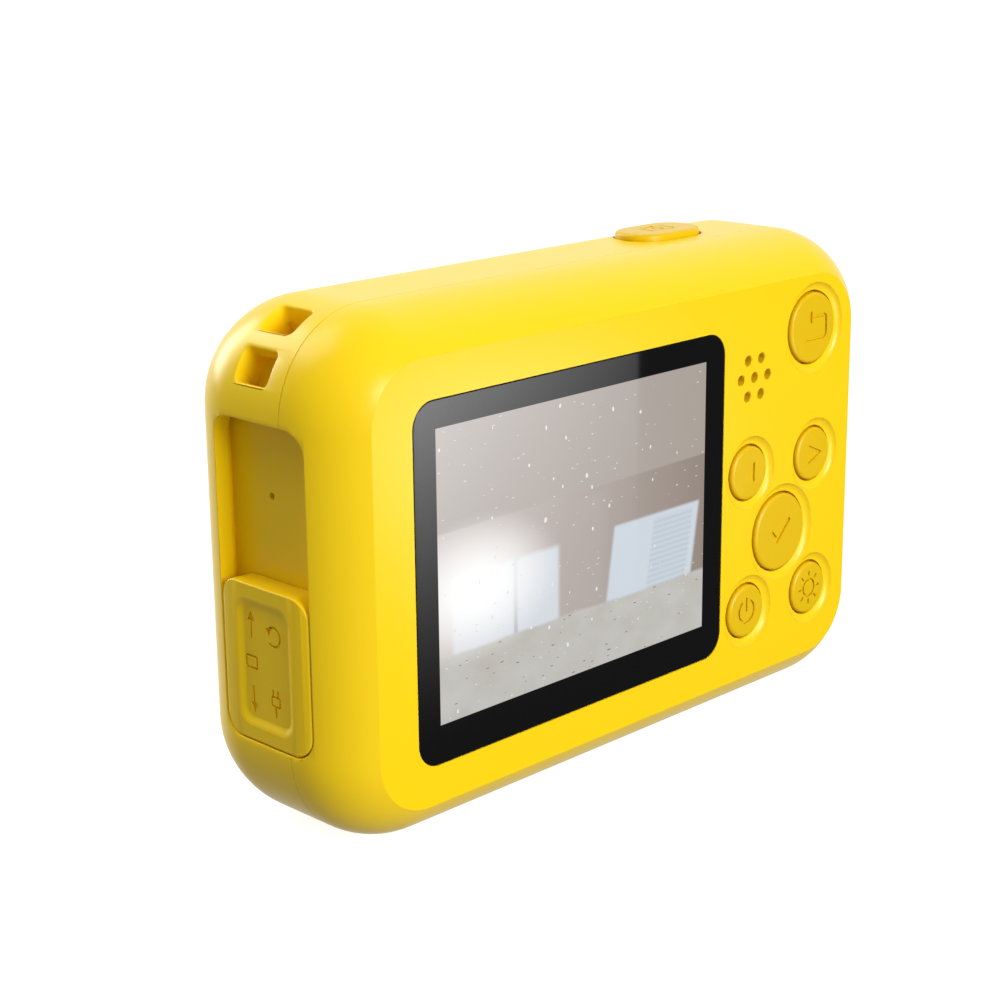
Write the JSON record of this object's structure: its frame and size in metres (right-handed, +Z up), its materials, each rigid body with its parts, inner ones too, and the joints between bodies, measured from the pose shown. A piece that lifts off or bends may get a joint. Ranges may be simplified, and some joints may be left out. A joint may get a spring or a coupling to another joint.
{
  "type": "kids digital camera",
  "caption": "Rounded compact children's camera with rear screen, round rear keys, top shutter key, sliding port door, strap loop and front lens.",
  "frame": {"origin": "under the middle of the case, at the height of the flat underside", "axes": "+Z up, +Y the way the lens looks, +X the user's right hand while looking at the screen"},
  "size_m": [0.1016, 0.0338, 0.0669],
  "materials": {
    "yellow_shell": "satin moulded ABS with a fine even texture",
    "yellow_door": "satin moulded ABS",
    "yellow_key": "satin moulded ABS, slightly deeper yellow",
    "black_window": "polished acrylic, black printed border",
    "display_glass": "display panel behind the window",
    "white_plastic": "moulded",
    "ivory_plastic": "moulded nylon",
    "black_plastic": "moulded",
    "black_foam": "closed-cell foam",
    "white_foam": "foam tape",
    "black_cloth": "fine acoustic mesh",
    "steel_sheet": "folded sheet",
    "steel_screw": "zinc plated",
    "flat_cable": "polyimide film",
    "circuit_board": "solder mask",
    "battery_foil": "foil pouch",
    "red_wire": "silicone insulation",
    "white_ring": "polished moulding",
    "clear_cover": "clear polished acrylic",
    "lens_glass": "coated optical glass",
    "sensor_chip": "silicon under cover glass"
  },
  "bodies": {
    "case": {"front_shell": "yellow_shell", "rear_shell": "yellow_shell", "port_tray": "yellow_shell", "screen_window": "black_window", "window_tape": "black_foam", "lcd_gasket": "black_foam", "lcd_panel": "display_glass", "lcd_backlight": "white_plastic", "lcd_frame": "steel_sheet", "lcd_ribbon": "flat_cable", "ribbon_connector": "ivory_plastic", "key_switches": "black_plastic", "key_board": "circuit_board", "key_board_screws": "steel_screw", "speaker": "black_plastic", "speaker_gasket": "black_foam", "speaker_mesh": "black_cloth", "main_board": "circuit_board", "processor": "black_plastic", "memory_chip": "black_plastic", "main_board_screws": "steel_screw", "board_header": "black_plastic", "battery": "battery_foil", "battery_pad": "white_foam", "battery_leads": "red_wire", "battery_connector": "ivory_plastic", "usb_socket": "steel_sheet", "card_socket": "steel_sheet", "reset_switch": "black_plastic", "microphone": "steel_sheet", "lens_ring": "white_ring", "lens_cover": "clear_cover", "lens_cup": "black_plastic", "lens_barrel": "black_plastic", "front_lens": "lens_glass", "rear_lens": "lens_glass", "lens_holder": "black_plastic", "image_sensor": "sensor_chip", "flash_window": "clear_cover", "flash_led": "clear_cover", "shutter_switch": "black_plastic", "shutter_board": "circuit_board", "case_screws": "steel_screw"},
    "back_key": {"back_key": "yellow_key", "back_plunger": "black_plastic"},
    "left_key": {"left_key": "yellow_key", "left_plunger": "black_plastic"},
    "right_key": {"right_key": "yellow_key", "right_plunger": "black_plastic"},
    "ok_key": {"ok_key": "yellow_key", "ok_plunger": "black_plastic"},
    "light_key": {"light_key": "yellow_key", "light_plunger": "black_plastic"},
    "power_key": {"power_key": "yellow_key", "power_plunger": "black_plastic"},
    "shutter_key": {"shutter_key": "yellow_key", "shutter_plunger": "black_plastic"},
    "reset_plunger": {"reset_plunger": "white_plastic"},
    "side_door": {"side_door": "yellow_door"}
  },
  "joints": [
    {"name": "back_key_press", "type": "slide", "parent": "case", "child": "back_key", "axis": [0, 1, 0], "range_m": [0, 0.0005], "stiffness_N_per_m": 2000, "springref_m": -0.0005},
    {"name": "left_key_press", "type": "slide", "parent": "case", "child": "left_key", "axis": [0, 1, 0], "range_m": [0, 0.0005], "stiffness_N_per_m": 2000, "springref_m": -0.0005},
    {"name": "right_key_press", "type": "slide", "parent": "case", "child": "right_key", "axis": [0, 1, 0], "range_m": [0, 0.0005], "stiffness_N_per_m": 2000, "springref_m": -0.0005},
    {"name": "ok_key_press", "type": "slide", "parent": "case", "child": "ok_key", "axis": [0, 1, 0], "range_m": [0, 0.0005], "stiffness_N_per_m": 2000, "springref_m": -0.0005},
    {"name": "light_key_press", "type": "slide", "parent": "case", "child": "light_key", "axis": [0, 1, 0], "range_m": [0, 0.0005], "stiffness_N_per_m": 2000, "springref_m": -0.0005},
    {"name": "power_key_press", "type": "slide", "parent": "case", "child": "power_key", "axis": [0, 1, 0], "range_m": [0, 0.0005], "stiffness_N_per_m": 2000, "springref_m": -0.0005},
    {"name": "shutter_press", "type": "slide", "parent": "case", "child": "shutter_key", "axis": [0, 0, -1], "range_m": [0, 0.0006], "stiffness_N_per_m": 2000, "springref_m": -0.0006},
    {"name": "reset_press", "type": "slide", "parent": "case", "child": "reset_plunger", "axis": [1, 0, 0], "range_m": [0, 0.0003], "stiffness_N_per_m": 1500, "springref_m": -0.0004},
    {"name": "door_slide", "type": "slide", "parent": "case", "child": "side_door", "axis": [0, 0, 1], "range_m": [0, 0.0198]}
  ]
}
